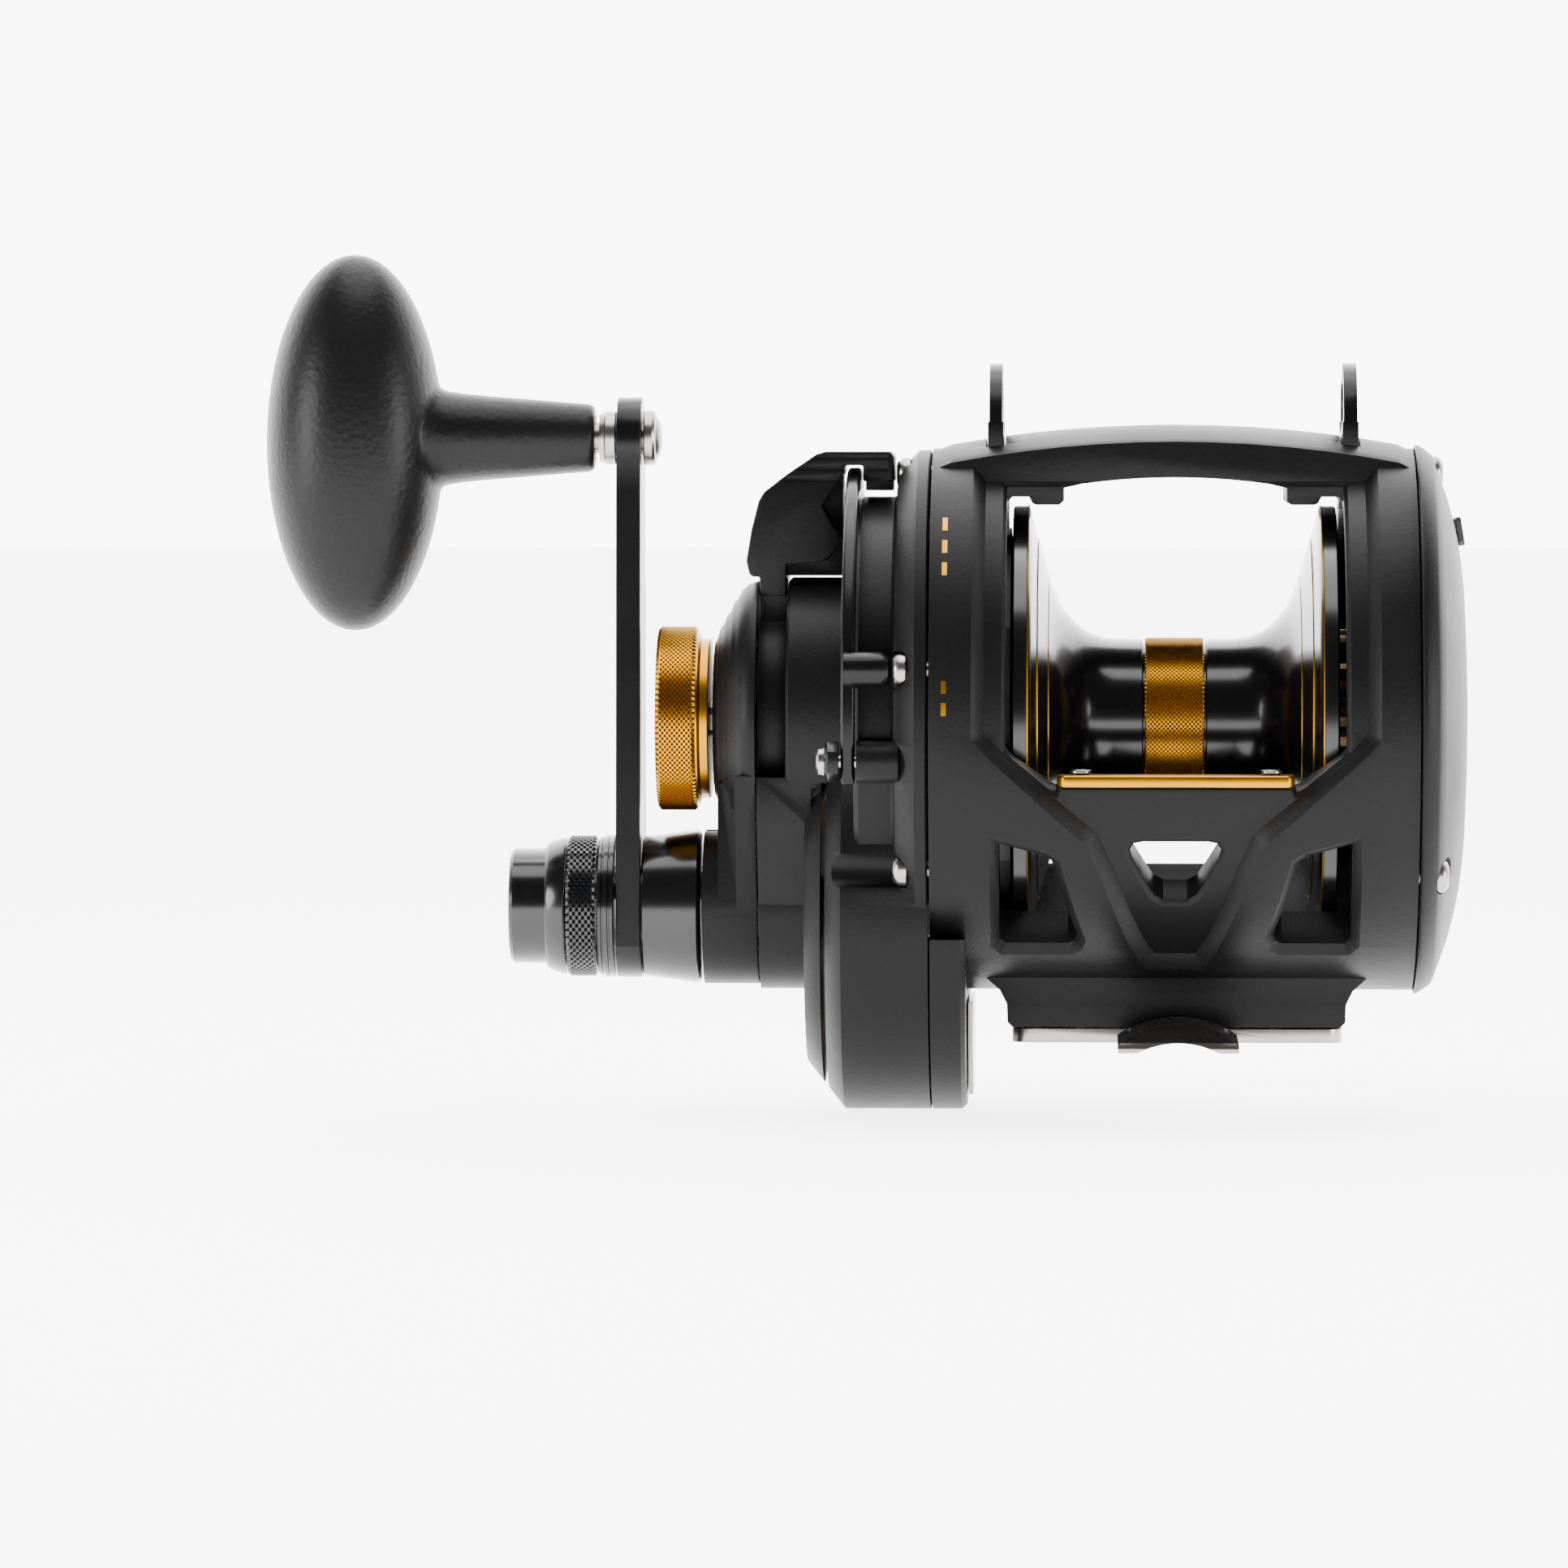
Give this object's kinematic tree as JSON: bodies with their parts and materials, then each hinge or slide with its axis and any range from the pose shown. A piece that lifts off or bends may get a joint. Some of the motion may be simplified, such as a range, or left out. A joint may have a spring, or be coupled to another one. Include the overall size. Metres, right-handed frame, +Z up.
{
  "type": "trolling reel",
  "caption": "Two-speed lever-drag trolling reel: open moulded frame, dished spool, drag lever on a quadrant, side crank with an egg-shaped grip, rod foot and harness lugs.",
  "frame": {"origin": "the middle of the flat crest of the foot's hollow underside, where a rod's seat touches it", "axes": "+X along the spool's axis from the handle to the tail plate, -Y to the rod's tip, +Z up from the rod"},
  "size_m": [0.1949, 0.089, 0.1389],
  "materials": {
    "moulded_black": "matt glass-filled moulding with a fine grain",
    "gloss_black": "polished black anodised",
    "gold_anodised": "bright gold anodised, knurled where gripped",
    "stainless": "satin stainless",
    "gear_bronze": "machined bronze",
    "soft_grip": "soft-touch charcoal with an orange-peel grain",
    "drag_carbon": "woven carbon drag material"
  },
  "bodies": {
    "frame": {"frame": "moulded_black", "foot": "stainless", "foot_screw_left": "stainless", "foot_screw_right": "stainless", "harness_lug_left": "gloss_black", "harness_lug_right": "gloss_black", "line_guard": "gold_anodised", "line_guard_screw_left": "stainless", "line_guard_screw_right": "stainless", "tail_side_plate": "moulded_black", "tail_screw_1": "stainless", "tail_screw_2": "stainless", "tail_screw_3": "stainless", "tail_bearing": "stainless", "gear_side_plate": "moulded_black", "gear_screw_1": "stainless", "gear_screw_2": "stainless", "gear_screw_3": "stainless", "gear_screw_4": "stainless", "hub_bearing": "stainless", "inner_cover": "moulded_black", "bearing_carrier": "stainless", "case_wear_plate": "stainless", "bridge_cover": "moulded_black", "bridge_screw": "stainless", "lever_quadrant": "gloss_black", "quadrant_bolt_1": "stainless", "quadrant_bolt_2": "stainless", "handle_bearing": "stainless", "gear_shaft_bearing": "stainless"},
    "lever": {"lever": "moulded_black", "lever_cam": "stainless"},
    "spool_shaft": {"spool_shaft": "stainless"},
    "preset_knob": {"preset_knob": "gold_anodised"},
    "spool": {"spool": "gloss_black", "spool_band": "gold_anodised", "spool_bearing_left": "stainless", "spool_bearing_right": "stainless", "drag_disc": "drag_carbon", "click_gear": "gear_bronze"},
    "drive": {"drive_plate": "stainless", "high_pinion": "gear_bronze", "low_pinion": "gear_bronze"},
    "handle": {"handle_arm": "gloss_black", "handle_collar": "gloss_black", "arm_nut": "gloss_black", "handle_cap": "gloss_black", "gear_shaft": "stainless", "high_main_gear": "gear_bronze", "ratchet_wheel": "stainless", "knob_spindle": "stainless", "spindle_washer": "stainless"},
    "low_gear": {"low_main_gear": "gear_bronze"},
    "shift_ring": {"shift_ring": "gloss_black"},
    "shift_button": {"shift_button": "gloss_black"},
    "grip": {"knob_grip": "soft_grip", "knob_bushing": "gear_bronze"},
    "clicker": {"clicker_button": "gloss_black", "click_tongue": "stainless"},
    "dog": {"anti_reverse_dog": "stainless"}
  },
  "joints": [
    {"name": "lever_turn", "type": "hinge", "parent": "frame", "child": "lever", "pos_m": [-0.065, 0, 0.05], "axis": [1, 0, 0], "range_deg": [-60, 60]},
    {"name": "shaft_slide", "type": "slide", "parent": "frame", "child": "spool_shaft", "axis": [-1, 0, 0], "range_m": [-0.00041887, 0.00041887]},
    {"name": "preset_turn", "type": "hinge", "parent": "spool_shaft", "child": "preset_knob", "pos_m": [-0.08, 0, 0.05], "axis": [1, 0, 0], "range_deg": [-150, 150]},
    {"name": "spool_spin", "type": "hinge", "parent": "spool_shaft", "child": "spool", "pos_m": [0, 0, 0.05], "axis": [1, 0, 0], "continuous": true},
    {"name": "drive_spin", "type": "hinge", "parent": "frame", "child": "drive", "pos_m": [-0.035, 0, 0.05], "axis": [1, 0, 0], "continuous": true},
    {"name": "handle_spin", "type": "hinge", "parent": "frame", "child": "handle", "pos_m": [-0.06, 0, 0.0194], "axis": [1, 0, 0], "continuous": true},
    {"name": "low_gear_spin", "type": "hinge", "parent": "frame", "child": "low_gear", "pos_m": [-0.0426, 0, 0.0194], "axis": [1, 0, 0], "continuous": true},
    {"name": "shift_ring_turn", "type": "hinge", "parent": "handle", "child": "shift_ring", "pos_m": [-0.096, 0, 0.0194], "axis": [1, 0, 0], "range_deg": [0, 20]},
    {"name": "shift_push", "type": "slide", "parent": "handle", "child": "shift_button", "axis": [1, 0, 0], "range_m": [0, 0.0035], "stiffness_N_per_m": 600},
    {"name": "grip_spin", "type": "hinge", "parent": "handle", "child": "grip", "pos_m": [-0.11, 0, 0.0956], "axis": [1, 0, 0], "continuous": true},
    {"name": "clicker_slide", "type": "slide", "parent": "frame", "child": "clicker", "axis": [0.1644, 0, -0.9864], "range_m": [0, 0.0045]},
    {"name": "dog_swing", "type": "hinge", "parent": "frame", "child": "dog", "pos_m": [-0.053, -0.0164, 0.0024], "axis": [1, 0, 0], "range_deg": [-4, 10]}
  ],
  "couplings": [
    {"joint": "lever_turn", "follows": "shaft_slide", "rad_per_m": 2500},
    {"joint": "spool_spin", "follows": "handle_spin", "ratio": -4.8333},
    {"joint": "drive_spin", "follows": "handle_spin", "ratio": -4.8333},
    {"joint": "low_gear_spin", "follows": "handle_spin", "ratio": 2.0871}
  ]
}
